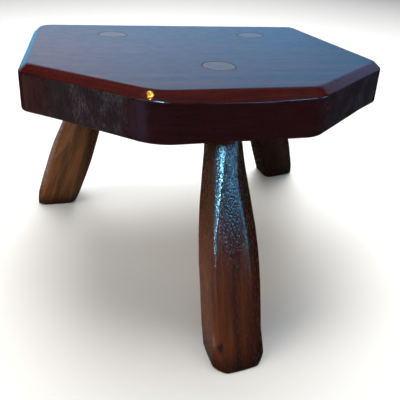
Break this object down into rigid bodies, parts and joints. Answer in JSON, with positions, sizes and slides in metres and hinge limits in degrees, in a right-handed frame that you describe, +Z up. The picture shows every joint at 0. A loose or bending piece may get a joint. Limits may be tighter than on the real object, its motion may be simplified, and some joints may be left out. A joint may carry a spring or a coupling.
{
  "type": "tripod stool",
  "caption": "Low wooden stool: a thick six-sided plank seat on splayed carved legs whose round tenons run through it and end flush with its top.",
  "frame": {"origin": "centre of the stool's footprint, on the floor that its soles stand on", "axes": "+Z up, -Y towards the front leg's foot, +X towards the stool's right as seen from the front"},
  "size_m": [0.391, 0.3836, 0.225],
  "materials": {
    "seat_wood": "glossy clear varnish over red-brown hardwood",
    "leg_wood": "satin varnish over hand-carved brown hardwood"
  },
  "bodies": {
    "root": {"seat_board": "seat_wood", "front_leg": "leg_wood", "back_left_leg": "leg_wood", "back_right_leg": "leg_wood"}
  },
  "joints": []
}
